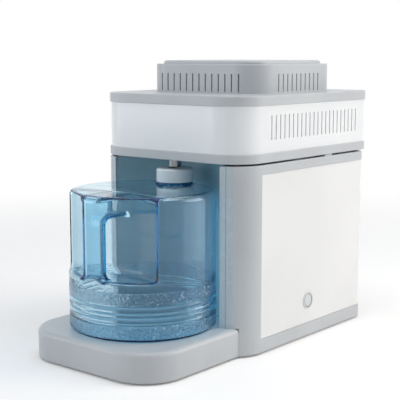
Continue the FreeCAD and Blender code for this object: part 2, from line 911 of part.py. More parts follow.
def make_steam_dome():
    flange = disc(0, boiler_axis_y, dome_flange_radius, head_floor_top, dome_flange_top)
    slope = Part.makeCone(dome_radius + dome_rise, dome_radius, dome_rise,
                          at(0, boiler_axis_y, head_floor_top), up)
    hollow = Part.makeCone(dome_radius + dome_rise - dome_sheet, dome_radius - dome_sheet,
                           dome_rise - dome_sheet, at(0, boiler_axis_y, head_floor_top), up)
    port = disc(0, boiler_axis_y, coil_tube_radius, head_floor_top - 1, dome_top + 1)
    dome = merge(flange, [slope]).cut(hollow)
    return one(dome.cut(port))


def make_rim_gasket():
    return one(ring(0, boiler_axis_y, dome_opening_radius - fitting_gap, gasket_inner_radius,
                    boiler_top + gasket_gap, head_floor_top))


def coil_points():
    """The steam rises from the dome, crosses to the back row and winds down to the spout."""
    points = [at(0, boiler_axis_y, dome_top - dome_sheet), at(0, boiler_axis_y, coil_top_level),
              at(0, coil_first_row, coil_top_level), at(coil_half_length, coil_first_row, coil_top_level)]
    side = 1
    for number in range(coil_row_count):
        y = coil_first_row - number * coil_row_pitch
        points.append(at(side * coil_half_length, y, coil_level))
        side = -side
        if number < coil_row_count - 1:
            points.append(at(side * coil_half_length, y, coil_level))
    points.append(at(0, coil_last_row, coil_level))
    points.append(at(0, neck_y, coil_level))
    points.append(at(0, neck_y, head_floor_top))
    return points


def make_condenser_coil():
    bend = coil_row_pitch / 2
    tube = bent_rod(coil_points(), bend, coil_tube_radius)
    bore = bent_rod(coil_points(), bend, coil_tube_radius - coil_tube_wall)
    return one(tube.cut(bore))


def make_condenser_fins():
    fins = []
    half_slots = fin_count // 2
    for number in range(fin_count):
        side = -1 if number < half_slots else 1
        x = side * (number % half_slots + 1) * fin_pitch
        fin = block(x - fin_thickness / 2, x + fin_thickness / 2, coil_last_row - fin_margin,
                    coil_first_row + fin_margin, fin_low, fin_high)
        for row in range(coil_row_count):
            y = coil_first_row - row * coil_row_pitch
            fin = fin.cut(rod(at(x - 1, y, coil_level), to_right,
                              coil_tube_radius + fin_hole_clearance, 2))
        fins.append(one(fin))
    return group(fins)


def make_fin_hangers():
    hangers = []
    reach = fin_count / 2 * fin_pitch + 2
    for y in (coil_last_row + coil_row_pitch / 2, coil_first_row - coil_row_pitch / 2):
        strip = block(-reach, reach, y - hanger_thickness / 2, y + hanger_thickness / 2,
                      fin_high, head_deck_low)
        hole = rod(at(0, y - 2, coil_top_level), to_rear, coil_tube_radius + fitting_gap, 4)
        notch_half = spider_arm_width / 2 + fitting_gap
        notch = block(-notch_half, notch_half, y - 2, y + 2, spider_top - spider_thickness - fitting_gap,
                      head_deck_low + 1)
        hangers.append(one(strip.cut(hole).cut(notch)))
    return group(hangers)


def make_spout_nozzle():
    low = head_bottom - nozzle_drop
    tube = disc(0, neck_y, nozzle_radius, low, low + nozzle_height)
    tube = tube.makeChamfer(1, level_edges(tube, low))
    flange = disc(0, neck_y, nozzle_flange_radius, head_floor_top, head_floor_top + nozzle_flange_thickness)
    bore = disc(0, neck_y, coil_tube_radius + nozzle_clearance / 2, low - 1, low + nozzle_height + 1)
    return one(merge(tube, [flange]).cut(bore))


# Fan

def make_motor_bracket():
    reach = fan_opening_radius + spider_seat
    low = spider_top - spider_thickness
    hub = disc(0, shroud_middle, motor_radius + 2, low, spider_top)
    half_arm = spider_arm_width / 2
    across = block(-reach, reach, shroud_middle - half_arm, shroud_middle + half_arm, low, spider_top)
    along = block(-half_arm, half_arm, shroud_middle - reach, shroud_middle + reach, low, spider_top)
    return one(merge(hub, [across, along]))


def make_fan_motor():
    can = disc(0, shroud_middle, motor_radius, spider_top, motor_top)
    can = can.makeFillet(2, level_edges(can, motor_top))
    bore = disc(0, shroud_middle, motor_shaft_radius + shaft_clearance, spider_top + 2, motor_top + 1)
    return one(can.cut(bore))


def make_motor_shaft():
    return one(disc(0, shroud_middle, motor_shaft_radius, spider_top + 3, hub_low + fan_hub_height / 2))


def make_fan_rotor():
    hub = disc(0, shroud_middle, fan_hub_radius, hub_low, hub_low + fan_hub_height)
    hub = hub.makeFillet(2, level_edges(hub, hub_low + fan_hub_height))
    middle = at(0, shroud_middle, hub_low + fan_hub_height / 2)
    start = fan_hub_radius - 2
    blades = []
    for number in range(fan_blade_count):
        blade = Part.makeBox(fan_blade_reach - start, fan_blade_chord, fan_blade_thickness,
                             at(start, -fan_blade_chord / 2, -fan_blade_thickness / 2))
        blade.rotate(at(0, 0, 0), to_right, fan_blade_pitch)
        blade.rotate(at(0, 0, 0), up, number * 360 / fan_blade_count)
        blade.translate(middle)
        blades.append(blade)
    rotor = merge(hub, blades)
    return one(rotor.cut(disc(0, shroud_middle, motor_shaft_radius, hub_low - 1, middle.z)))


# Hinges

def hinge_starts():
    outer_end = panel_split - hinge_end_inset
    return (-outer_end, outer_end - hinge_length)


def knuckle(x_low, x_high):
    start = at(x_low, hinge_axis_y, hinge_axis_z)
    barrel = rod(start, to_right, hinge_barrel_radius, x_high - x_low)
    bore = rod(at(x_low - 1, hinge_axis_y, hinge_axis_z), to_right,
               hinge_pin_radius + hinge_pin_clearance, x_high - x_low + 2)
    return barrel, bore


def make_cabinet_hinge_leaves():
    leaves = []
    third = hinge_length / 3
    low = hinge_axis_z - hinge_leaf_height
    plate_high = hinge_axis_z - hinge_barrel_radius - 1
    for start in hinge_starts():
        leaf = block(start, start + hinge_length, cabinet_depth, cabinet_depth + hinge_leaf_thickness,
                     low, plate_high)
        for x in (start, start + 2 * third):
            barrel, bore = knuckle(x, x + third)
            web = block(x, x + third, cabinet_depth, cabinet_depth + hinge_leaf_thickness,
                        low, hinge_axis_z)
            leaf = merge(leaf, [web, barrel]).cut(bore)
        leaves.append(one(leaf))
    return group(leaves)


def make_head_hinge_leaves():
    leaves = []
    third = hinge_length / 3
    outer = head_depth + hinge_leaf_thickness
    for start in hinge_starts():
        x_low = start + third + hinge_knuckle_gap
        x_high = start + 2 * third - hinge_knuckle_gap
        barrel, bore = knuckle(x_low, x_high)
        web = block(x_low, x_high, head_depth, outer, hinge_axis_z, white_wall_low)
        plate = block(start, start + hinge_length, head_depth, outer, head_bottom, white_wall_low)
        leaves.append(one(merge(plate, [web, barrel]).cut(bore)))
    return group(leaves)


def make_hinge_pins():
    pins = []
    for start in hinge_starts():
        pins.append(rod(at(start - 0.5, hinge_axis_y, hinge_axis_z), to_right, hinge_pin_radius,
                        hinge_length + 1))
    return group(pins)


def make_cabinet_screws():
    """Heads that hold the rear cover and the cabinet half of each hinge."""
    heads = []
    cover_x = panel_split - window_margin / 2
    cover_low = panel_bottom + window_margin / 2
    cover_high = panel_top - window_margin / 2
    for x, z in ((-cover_x, cover_low), (0, cover_low), (cover_x, cover_low), (0, cover_high)):
        heads.append(screw_head(at(x, cover_outer, z), to_rear))
    hinge_level = hinge_axis_z - hinge_leaf_height + 2 + screw_head_radius
    for start in hinge_starts():
        for step in (0.2, 0.8):
            heads.append(screw_head(at(start + step * hinge_length,
                                       cabinet_depth + hinge_leaf_thickness, hinge_level), to_rear))
    return group(heads)


def make_head_screws():
    heads = []
    level = (head_bottom + white_wall_low) / 2
    for start in hinge_starts():
        for step in (0.2, 0.8):
            heads.append(screw_head(at(start + step * hinge_length, head_depth + hinge_leaf_thickness,
                                       level), to_rear))
    return group(heads)


# Jug

def recess_prism(grow):
    """The space round the grip: everything in front of the recess back, between its two levels."""
    far = 2 * jug_radius
    points = [
        at(-far, jug_axis_y - far, 0),
        at(far, jug_axis_y - far, 0),
        at(far, jug_axis_y + recess_edge_y + grow, 0),
        at(recess_edge_x, jug_axis_y + recess_edge_y + grow, 0),
        at(recess_deep_x, jug_axis_y + recess_deep_y + grow, 0),
        at(-recess_deep_x, jug_axis_y + recess_deep_y + grow, 0),
        at(-recess_edge_x, jug_axis_y + recess_edge_y + grow, 0),
        at(-far, jug_axis_y + recess_edge_y + grow, 0),
    ]
    low = jug_bottom + recess_low - grow
    high = jug_top - recess_top_room + grow
    face = Part.Face(Part.makePolygon(points + [points[0]]))
    face.translate(at(0, 0, low))
    prism = face.extrude(at(0, 0, high - low))
    back_edges = []
    for edge in prism.Edges:
        box = edge.BoundBox
        flat = abs(box.ZMax - box.ZMin) < 0.01
        inside = box.YMin > jug_axis_y + recess_edge_y + grow - 0.01 and box.XLength < 2 * recess_edge_x
        if flat and inside and abs(box.XMin) < far - 1 and abs(box.XMax) < far - 1:
            back_edges.append(edge)
    return prism.makeFillet(recess_corner_radius + grow, back_edges)


def grip_solid(shrink):
    """The hollow upright grip and the web that joins its top to the jug."""
    half = grip_width / 2 - shrink
    front = jug_axis_y - jug_radius - 1
    back = jug_axis_y - jug_radius + grip_thickness - shrink
    low = jug_bottom + recess_low - 6
    high = jug_top - recess_top_room + 6
    upright = block(-half, half, front, back, low, high)
    web = block(-half, half, front, jug_axis_y + recess_deep_y + 6, jug_top - grip_web_room + shrink, high)
    grip = merge(upright, [web])
    long_edges = []
    for edge in grip.Edges:
        box = edge.BoundBox
        upright_edge = box.ZLength > recess_low and abs(box.YMin - back) < 0.01
        web_edge = box.YLength > 10 and abs(box.ZMin - jug_top + grip_web_room - shrink) < 0.01
        if upright_edge or web_edge:
            long_edges.append(edge)
    return grip.makeFillet(grip_edge_radius - shrink, long_edges)


def jug_round(inset):
    low = jug_bottom + inset
    high = jug_top - inset
    body = disc(0, jug_axis_y, jug_radius - inset, low, high)
    body = body.makeFillet(jug_shoulder_radius - inset, level_edges(body, high))
    return body.makeFillet(jug_heel_radius - inset, level_edges(body, low))


def make_jug_body():
    recess = recess_prism(0).cut(grip_solid(0))
    recess_wall = recess_prism(jug_wall).cut(grip_solid(jug_wall))
    outside = jug_round(0).cut(recess)
    neck = disc(0, neck_y, neck_radius, jug_top - jug_wall, neck_top)
    outside = merge(outside, [neck])
    for level in rib_levels:
        groove = Part.makeTorus(jug_radius, rib_groove_radius, at(0, jug_axis_y, jug_bottom + level), up)
        outside = outside.cut(groove)
    inside = jug_round(jug_wall).cut(recess_wall)
    mouth = disc(0, neck_y, neck_radius - neck_wall, jug_top - jug_wall - 1, neck_top + 1)
    return one(outside.cut(inside).cut(mouth))


def make_jug_cap():
    cap = disc(0, neck_y, cap_radius, cap_low, cap_high)
    cap = cap.makeFillet(cap_edge_radius, level_edges(cap, cap_high))
    cap = cap.cut(disc(0, neck_y, neck_radius + cap_clearance, cap_low - 1, cap_ceiling))
    funnel = Part.makeCone(cap_hole_radius, cap_hole_radius + cap_top_thickness, cap_top_thickness,
                           at(0, neck_y, cap_ceiling), up)
    return one(cap.cut(funnel))


def make_neck_seal():
    return one(ring(0, neck_y, neck_radius - fitting_gap, filter_radius + fitting_gap,
                    cap_ceiling - seal_thickness, cap_ceiling))


def make_filter_cup():
    low = cap_ceiling - filter_depth
    cup = disc(0, neck_y, filter_radius, low, cap_ceiling)
    cup = cup.cut(disc(0, neck_y, filter_radius - filter_wall, low + filter_wall, cap_ceiling + 1))
    holes = [disc(0, neck_y, filter_hole_radius, low - 1, low + filter_wall + 1)]
    for number in range(6):
        angle = math.radians(number * 60)
        holes.append(disc(filter_hole_circle * math.cos(angle), neck_y + filter_hole_circle * math.sin(angle),
                          filter_hole_radius, low - 1, low + filter_wall + 1))
    for hole in holes:
        cup = cup.cut(hole)
    return one(cup)


def make_carbon_filter():
    low = cap_ceiling - filter_depth + filter_wall
    pad = disc(0, neck_y, filter_radius - filter_wall - carbon_play, low, low + carbon_height)
    return one(pad.makeFillet(2, level_edges(pad, low + carbon_height)))


save("base_platform", make_base_platform())
save("base_pan", make_base_pan())
save("rubber_feet", make_rubber_feet())
save("cabinet_frame", make_cabinet_frame())
save("side_panel_right", make_side_panel(1))
save("side_panel_left", make_side_panel(-1))
save("rear_cover", make_rear_cover())
save("alcove_liner", make_alcove_liner())
save("alcove_trim_right", make_alcove_trim(1))
save("alcove_trim_left", make_alcove_trim(-1))
save("deck_plate", make_deck_plate())
save("seam_pads", make_seam_pads())
save("badge_disc", make_badge())
save("boiler_well", make_boiler_well())
save("boiler_pot", make_boiler_pot())
save("heater_plate", make_heater_plate())
save("heating_element", make_heating_element())
save("heater_stands", make_heater_stands())
save("thermostat", make_thermostat())
save("thermal_cutout", make_thermal_cutout())
save("power_inlet", make_power_inlet())
save("inlet_pins", make_inlet_pins())
save("inlet_screws", make_inlet_screws())
save("button_bezel", make_button_bezel())
save("start_button", make_start_button())
save("start_switch", make_start_switch())
save("terminal_block", make_terminal_block())
save("lead_wires", make_lead_wires())
save("cabinet_hinge_leaves", make_cabinet_hinge_leaves())
save("hinge_pins", make_hinge_pins())
save("cabinet_screws", make_cabinet_screws())
save("head_base", make_head_base())
save("head_wall", make_head_wall())
save("head_top", make_head_top())
save("fan_shroud", make_fan_shroud())
save("shroud_lid", make_shroud_lid())
save("steam_dome", make_steam_dome())
save("rim_gasket", make_rim_gasket())
save("condenser_coil", make_condenser_coil())
save("condenser_fins", make_condenser_fins())
save("fin_hangers", make_fin_hangers())
save("spout_nozzle", make_spout_nozzle())
save("motor_bracket", make_motor_bracket())
save("fan_motor", make_fan_motor())
save("motor_shaft", make_motor_shaft())
save("fan_rotor", make_fan_rotor())
save("head_hinge_leaves", make_head_hinge_leaves())
save("head_screws", make_head_screws())
save("jug_body", make_jug_body())
save("jug_cap", make_jug_cap())
save("neck_seal", make_neck_seal())
save("filter_cup", make_filter_cup())
save("carbon_filter", make_carbon_filter())
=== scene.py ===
import math
import bmesh
import bpy
import numpy as np
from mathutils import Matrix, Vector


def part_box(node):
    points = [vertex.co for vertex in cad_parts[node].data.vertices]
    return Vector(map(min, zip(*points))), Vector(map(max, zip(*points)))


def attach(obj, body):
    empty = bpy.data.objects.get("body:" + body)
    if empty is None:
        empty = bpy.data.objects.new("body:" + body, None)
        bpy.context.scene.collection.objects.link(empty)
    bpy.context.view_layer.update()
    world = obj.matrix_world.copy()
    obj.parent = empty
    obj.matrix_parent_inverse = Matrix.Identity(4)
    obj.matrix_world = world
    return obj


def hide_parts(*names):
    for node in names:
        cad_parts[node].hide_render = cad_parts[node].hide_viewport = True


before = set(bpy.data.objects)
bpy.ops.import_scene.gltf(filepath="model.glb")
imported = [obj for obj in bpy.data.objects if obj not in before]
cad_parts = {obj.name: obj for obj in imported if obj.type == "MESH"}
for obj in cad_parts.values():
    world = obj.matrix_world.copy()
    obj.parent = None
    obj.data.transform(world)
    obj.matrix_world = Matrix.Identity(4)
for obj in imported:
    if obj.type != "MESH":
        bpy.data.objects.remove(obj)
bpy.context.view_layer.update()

# View of the machine
# A long lens looks down at the front right corner from about 1.3 m away, as the
# photograph does. Places are in metres in the machine's own frame.
eye = (0.8281, -1.0034, 0.3714)
lens_mm = 90
film_mm = 36
turn_degrees = 39.63
look_down_degrees = 8.355
camera = bpy.data.objects.new("camera", bpy.data.cameras.new("camera"))
camera.data.lens = lens_mm
camera.data.sensor_width = film_mm
camera.data.clip_end = 60
camera.location = eye
camera.rotation_euler = (math.radians(90 - look_down_degrees), 0, math.radians(turn_degrees))
bpy.context.scene.collection.objects.link(camera)
bpy.context.scene.camera = camera
bpy.context.scene.view_settings.view_transform = "Standard"
# Light turns back many times inside the jug's clear walls before it leaves them.
light_turns = 20
bpy.context.scene.cycles.glossy_bounces = light_turns
bpy.context.scene.cycles.transmission_bounces = light_turns
bpy.context.scene.cycles.max_bounces = light_turns


# White worktop and surround
# A plain white sheet carries the machine, and five soft lamps stand round it and above it.
# To the eye the sheet and the surround are white; as lamps they are dimmer.
class Wire:
    """One value between shader nodes. Arithmetic on it adds the nodes that work it out."""

    def __init__(self, finish, socket):
        self.finish = finish
        self.socket = socket

    def math(self, operation, *values):
        return self.finish.node("ShaderNodeMath", {"operation": operation}, dict(enumerate(values)))

    def __add__(self, other):
        return self.math("ADD", self, other)

    def __sub__(self, other):
        return self.math("SUBTRACT", self, other)

    def __rsub__(self, other):
        return self.math("SUBTRACT", other, self)

    def __mul__(self, other):
        return self.math("MULTIPLY", self, other)

    __radd__ = __add__
    __rmul__ = __mul__

    def most(self, other):
        return self.math("MAXIMUM", self, other)

    def between(self, low, high):
        """0 at low and less, 1 at high and more, and a soft step between them."""
        return self.finish.node("ShaderNodeMapRange", {"interpolation_type": "SMOOTHSTEP"},
                                {"Value": self, "From Min": low, "From Max": high})

    def within(self, low, high, edge):
        """1 from low to high, and falling to 0 over the width of an edge outside them."""
        return self.between(low - edge, low) * (1 - self.between(high, high + edge))


class Finish:
    """What a surface is made of: the shader nodes of one material, lamp or surround."""

    def __init__(self, owner):
        owner.use_nodes = True
        self.owner = owner
        self.tree = owner.node_tree
        self.tree.nodes.clear()

    def node(self, kind, settings=None, values=None, output=0):
        """Any node: its settings first, then the values or links of its sockets."""
        made = self.tree.nodes.new(kind)
        for name, value in (settings or {}).items():
            setattr(made, name, value)
        for name, value in (values or {}).items():
            if isinstance(value, Wire):
                self.tree.links.new(value.socket, made.inputs[name])
            else:
                made.inputs[name].default_value = value
        return Wire(self, made.outputs[output]) if made.outputs else None

    def seen_directly(self):
        """1 for rays that show this to the eye, straight or in metal or clear plastic."""
        rays = [self.node("ShaderNodeLightPath", output=ray)
                for ray in ("Is Camera Ray", "Is Glossy Ray", "Is Transmission Ray")]
        return rays[0].most(rays[1]).most(rays[2])


def paint(code):
    """A colour written as on a paint card, as the linear value that a shader takes."""
    parts = [int(code[start:start + 2], 16) / 255 for start in (0, 2, 4)]
    linear = [part / 12.92 if part <= 0.04045 else ((part + 0.055) / 1.055) ** 2.4 for part in parts]
    return (*linear, 1)


surround_strength = 0.48
surround = Finish(bpy.data.worlds.new("surround"))
bpy.context.scene.world = surround.owner
surround_light = surround.node("ShaderNodeBackground",
                               values={"Color": paint("e3eaf1"), "Strength": surround_strength})
surround_white = surround.node("ShaderNodeBackground", values={"Color": (1, 1, 1, 1), "Strength": 1.0})
surround.node("ShaderNodeOutputWorld", values={"Surface": surround.node(
    "ShaderNodeMixShader", values={0: surround.seen_directly(), 1: surround_light, 2: surround_white})})

worktop_half = 14.0
worktop_glow = 0.14
worktop_near = 0.55
worktop_far = 1.5
worktop_matt = (0.97, 0.955, 0.94, 1)
sheet = bpy.data.meshes.new("worktop")
sheet_corners = [(x * worktop_half, y * worktop_half, 0) for x, y in ((-1, -1), (1, -1), (1, 1), (-1, 1))]
sheet.from_pydata(sheet_corners, [], [(0, 1, 2, 3)])
worktop = bpy.data.objects.new("worktop", sheet)
bpy.context.scene.collection.objects.link(worktop)
white_sheet = Finish(bpy.data.materials.new("white_sheet"))
place = white_sheet.node("ShaderNodeTexCoord", output="Object")
from_middle = white_sheet.node("ShaderNodeVectorMath", {"operation": "LENGTH"}, {0: place}, output="Value")
seen = white_sheet.seen_directly()
matt = white_sheet.node("ShaderNodeBsdfDiffuse", values={"Color": worktop_matt})
glow = white_sheet.node("ShaderNodeEmission", values={"Color": (1, 1, 1, 1), "Strength": worktop_glow})
none = white_sheet.node("ShaderNodeEmission", values={"Strength": 0.0})
lifted = white_sheet.node("ShaderNodeAddShader", values={0: matt, 1: white_sheet.node(
    "ShaderNodeMixShader", values={0: seen, 1: none, 2: glow})})
plain_white = white_sheet.node("ShaderNodeEmission", values={"Color": (1, 1, 1, 1), "Strength": 1.0})
away = from_middle.between(worktop_near, worktop_far) * seen
white_sheet.node("ShaderNodeOutputMaterial", values={"Surface": white_sheet.node(
    "ShaderNodeMixShader", values={0: away, 1: lifted, 2: plain_white})})
sheet.materials.append(white_sheet.owner)


def soft_lamp(name, place, aim, size, watts, colour):
    """A rectangular diffuser lamp that faces a point of the machine."""
    lamp = bpy.data.lights.new(name, "AREA")
    lamp.shape = "RECTANGLE"
    lamp.size, lamp.size_y = size
    lamp.energy = watts
    lamp.color = paint(colour)[:3]
    holder = bpy.data.objects.new(name, lamp)
    bpy.context.scene.collection.objects.link(holder)
    holder.location = place
    away_x, away_y, away_z = (aim[axis] - place[axis] for axis in range(3))
    level = math.hypot(away_x, away_y)
    holder.rotation_euler = (math.atan2(level, -away_z), 0, math.atan2(away_y, away_x) - math.pi / 2)


soft_lamp("lamp_right", place=(1.8, 1.6, 1.15), aim=(0, 0, 0.2), size=(1.6, 1.6), watts=26, colour="fff9f4")
soft_lamp("lamp_low", place=(0.50, 0.28, 0.09), aim=(0, -0.11, 0.12), size=(0.55, 0.17), watts=0.18,
          colour="fffaf4")
soft_lamp("lamp_above", place=(0.1, -0.5, 2.4), aim=(0, 0, 0.2), size=(1.4, 1.4), watts=12, colour="ffffff")
soft_lamp("lamp_over", place=(0.85, 0.55, 2.3), aim=(0, -0.1, 0.2), size=(0.8, 0.8), watts=8, colour="ffffff")
soft_lamp("lamp_left", place=(-2.1, -1.8, 0.75), aim=(0, 0, 0.15), size=(1.7, 1.4), watts=17, colour="eef4fd")

# Rubber feet
# Six moulded rubber pads glued under the platform and the cabinet keep the machine from
# sliding. They are matt black, a little dusty, with a fine rough skin.


def grain(finish, scale, detail=3.0, stretch=(1, 1, 1)):
    """Soft random variation over the piece. scale is in cycles per metre; detail adds finer ones."""
    place = finish.node("ShaderNodeTexCoord", output="Object")
    stretched = finish.node("ShaderNodeVectorMath", {"operation": "MULTIPLY"}, {0: place, 1: stretch})
    return finish.node("ShaderNodeTexNoise", values={"Vector": stretched, "Scale": scale, "Detail": detail})


def shade(finish, amount, first, second):
    """The first colour, changing into the second where amount is 1."""
    return finish.node("ShaderNodeMix", {"data_type": "RGBA"}, {0: amount, 6: first, 7: second}, output=2)


def relief(finish, height, depth_mm, under=None):
    """Small hills and hollows as deep as depth_mm, on top of what lies under."""
    values = {"Height": height, "Distance": depth_mm / 1000, "Strength": 1.0}
    if under:
        values["Normal"] = under
    return finish.node("ShaderNodeBump", values=values)


def surface(finish, **values):
    """The finish's one surface shader, on its output. Names are sockets, with _ for a space."""
    sockets = {name.replace("_", " "): value for name, value in values.items()}
    shader = finish.node("ShaderNodeBsdfPrincipled", values=sockets)
    finish.node("ShaderNodeOutputMaterial", values={"Surface": shader})
    return finish.owner


def dress(material, *nodes):
    """Gives machined or moulded pieces their finish."""
    for name in nodes:
        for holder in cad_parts[name].material_slots:
            holder.material = material


rubber = Finish(bpy.data.materials.new("black_rubber"))
dust = grain(rubber, 90, 4).between(0.45, 0.75)
dress(surface(rubber, Base_Color=shade(rubber, dust, paint("242525"), paint("3a3a39")),
              Roughness=grain(rubber, 160) * 0.2 + 0.62, Specular_IOR_Level=0.3,
              Normal=relief(rubber, grain(rubber, 1400, 2), 0.12)), "rubber_feet")

# Platform, cabinet frame and head mouldings
# Injection moulded ABS in a pale cool grey: the platform and frame are one colour with the
# bands of the head, the fan shroud and its lid. The moulds left a fine spark-eroded grain.
# The lowest 3 cm is darker, warmer and rougher in patches.
low_tint_height = 0.03
grey_abs = Finish(bpy.data.materials.new("grey_abs"))
flow = grain(grey_abs, 9, 2)
speck = grain(grey_abs, 700, 2)
eroded = grain(grey_abs, 2600, 2)
height_up = grey_abs.node("ShaderNodeSeparateXYZ",
                          values={0: grey_abs.node("ShaderNodeTexCoord", output="Object")}, output="Z")
# Patches in the lowest 3 cm are tinted darker and warmer and made rougher.
low_tint = height_up.between(low_tint_height, 0.0) * grain(grey_abs, 60, 4).between(0.4, 0.8)
grey_tone = shade(grey_abs, flow.between(0.3, 0.7), paint("bfc2c5"), paint("c6c9cb"))
grey_tone = shade(grey_abs, speck.between(0.35, 0.9) * 0.25, grey_tone, paint("b2b6b9"))
grey_tone = shade(grey_abs, low_tint * 0.35, grey_tone, paint("b9b8b2"))
dress(surface(grey_abs, Base_Color=grey_tone, Roughness=grain(grey_abs, 45) * 0.14 + 0.3 + low_tint * 0.15,
              Specular_IOR_Level=0.5, Normal=relief(grey_abs, eroded, 0.03)),
      "base_platform", "base_pan", "cabinet_frame", "deck_plate", "seam_pads",
      "head_base", "head_top", "fan_shroud", "shroud_lid")

# Side panels and rear cover
# Pressed steel sheet, powder coated white, let into the cabinet frame and screwed at the
# back. The coating has a faint orange peel.
powder_coat = Finish(bpy.data.materials.new("powder_coat"))
peel = grain(powder_coat, 420, 2)
cloud = grain(powder_coat, 7, 3)
powder_tone = shade(powder_coat, cloud.between(0.3, 0.7), paint("e6e6e4"), paint("ebebea"))
dress(surface(powder_coat, Base_Color=powder_tone,
              Roughness=grain(powder_coat, 80) * 0.1 + 0.32, Coat_Weight=0.15, Coat_Roughness=0.2,
              Normal=relief(powder_coat, peel, 0.05)),
      "side_panel_right", "side_panel_left", "rear_cover")

# Alcove behind the jug
# A curved slate blue ABS moulding makes the bay that the jug stands in. Two pale strips
# with a shadow groove close its edges at the front.
slate_abs = Finish(bpy.data.materials.new("slate_abs"))
slate_cloud = grain(slate_abs, 11, 3).between(0.3, 0.7)
slate_speck = grain(slate_abs, 900, 2).between(0.5, 0.9)
slate_tone = shade(slate_abs, slate_cloud, paint("8eb7c6"), paint("96bdcb"))
slate_tone = shade(slate_abs, slate_speck * 0.3, slate_tone, paint("82abba"))
dress(surface(slate_abs, Base_Color=slate_tone, Roughness=grain(slate_abs, 50) * 0.12 + 0.26,
              Normal=relief(slate_abs, grain(slate_abs, 2300, 2), 0.03)), "alcove_liner")
strip_abs = Finish(bpy.data.materials.new("strip_abs"))
drawn = grain(strip_abs, 500, 2, stretch=(1, 1, 0.02))
strip_tone = shade(strip_abs, drawn.between(0.3, 0.8), paint("bdc8ce"), paint("b5c1c8"))
dress(surface(strip_abs, Base_Color=strip_tone, Roughness=grain(strip_abs, 60) * 0.1 + 0.22,
              Coat_Weight=0.2, Normal=relief(strip_abs, drawn, 0.02)),
      "alcove_trim_right", "alcove_trim_left")

# Badge
# A thin pressed disc stuck to the side panel, bare, with one turned groove. Its face is
# satin metal with rings left by the lathe, and the groove's shade is painted on it as a dark ring.
groove_shade_radii = (0.0084, 0.0088)
groove_edge = 0.0003
badge_low, badge_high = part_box("badge_disc")
badge_middle = (badge_low + badge_high) / 2
badge_metal = Finish(bpy.data.materials.new("badge_metal"))
offset = badge_metal.node("ShaderNodeVectorMath", {"operation": "SUBTRACT"},
                          {0: badge_metal.node("ShaderNodeTexCoord", output="Object"), 1: badge_middle})
radius = badge_metal.node("ShaderNodeVectorMath", {"operation": "LENGTH"}, {0: offset}, output="Value")
turned = badge_metal.node("ShaderNodeTexNoise", {"noise_dimensions": "1D"},
                          {"W": radius, "Scale": 2600, "Detail": 2.0})
# Painted shade: a dark ring between these radii stands for the shadow in the groove.
groove_shade = radius.within(groove_shade_radii[0], groove_shade_radii[1], groove_edge)
badge_tone = shade(badge_metal, turned.between(0.3, 0.7), paint("d6d8da"), paint("c0c3c5"))
badge_tone = shade(badge_metal, groove_shade, badge_tone, paint("4c5053"))
dress(surface(badge_metal, Base_Color=badge_tone, Metallic=0.9, Roughness=turned * 0.2 + 0.2,
              Normal=relief(badge_metal, turned, 0.02)), "badge_disc")

# Boiler, its well and the steam dome
# Deep drawn stainless steel. The pot is lifted out by its rim, the well under it keeps the
# heat in, and the dome closes it from above. Turning left fine rings and dull streaks.
pot_low, pot_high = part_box("boiler_pot")
pot_middle = (pot_low + pot_high) / 2
stainless = Finish(bpy.data.materials.new("stainless"))
around = stainless.node("ShaderNodeVectorMath", {"operation": "SUBTRACT"},
                        {0: stainless.node("ShaderNodeTexCoord", output="Object"), 1: pot_middle})
level_part = stainless.node("ShaderNodeVectorMath", {"operation": "MULTIPLY"}, {0: around, 1: (1, 1, 0)})
from_axis = stainless.node("ShaderNodeVectorMath", {"operation": "LENGTH"}, {0: level_part}, output="Value")
upright = stainless.node("ShaderNodeSeparateXYZ", values={0: around}, output="Z")
rings = stainless.node("ShaderNodeTexNoise", values={
    "Vector": stainless.node("ShaderNodeCombineXYZ", values={0: from_axis, 1: upright}),
    "Scale": 1500, "Detail": 2.0})
heat = grain(stainless, 18, 4).between(0.5, 0.8)
steel_tone = shade(stainless, heat * 0.4, paint("c9cbcd"), paint("c2b9a6"))
dress(surface(stainless, Base_Color=steel_tone, Metallic=1.0,
              Roughness=rings * 0.18 + grain(stainless, 30) * 0.1 + 0.14,
              Normal=relief(stainless, rings, 0.015)), "boiler_pot", "boiler_well", "steam_dome")

# Heater under the boiler
# A cast aluminium plate with a bent tubular element below it, on three plated steel
# stands. The casting is grainy. The condenser's coil is of the same bright tube as the
# element, slightly dulled, and the fan's shaft is drawn like it.
cast_alloy = Finish(bpy.data.materials.new("cast_alloy"))
sand = grain(cast_alloy, 1100, 4)
cast_stain = grain(cast_alloy, 40, 4).between(0.35, 0.7)
dress(surface(cast_alloy, Base_Color=shade(cast_alloy, cast_stain, paint("a9abac"), paint("8f9192")),
              Metallic=0.9, Roughness=sand * 0.25 + 0.4, Normal=relief(cast_alloy, sand, 0.15)),
      "heater_plate")
bright_tube = Finish(bpy.data.materials.new("bright_tube"))
draw_lines = grain(bright_tube, 1800, 2, stretch=(0.3, 0.3, 1))
tarnish = grain(bright_tube, 35, 4).between(0.45, 0.8)
dress(surface(bright_tube, Base_Color=shade(bright_tube, tarnish, paint("c4c7c9"), paint("a7a49c")),
              Metallic=1.0, Roughness=draw_lines * 0.15 + tarnish * 0.15 + 0.16,
              Normal=relief(bright_tube, draw_lines, 0.015)),
      "heating_element", "condenser_coil", "motor_shaft")

# Condenser fins
# Eight fins of rolled aluminium sheet are pressed on the coil and give its heat to the
# fan's air. Rolling left long straight lines.
fin_sheet = Finish(bpy.data.materials.new("fin_sheet"))
rolled = grain(fin_sheet, 900, 2, stretch=(1, 0.03, 1))
dress(surface(fin_sheet, Base_Color=shade(fin_sheet, rolled, paint("cfd2d4"), paint("bcc0c2")),
              Metallic=1.0, Roughness=rolled * 0.2 + 0.2, Normal=relief(fin_sheet, rolled, 0.01)),
      "condenser_fins")

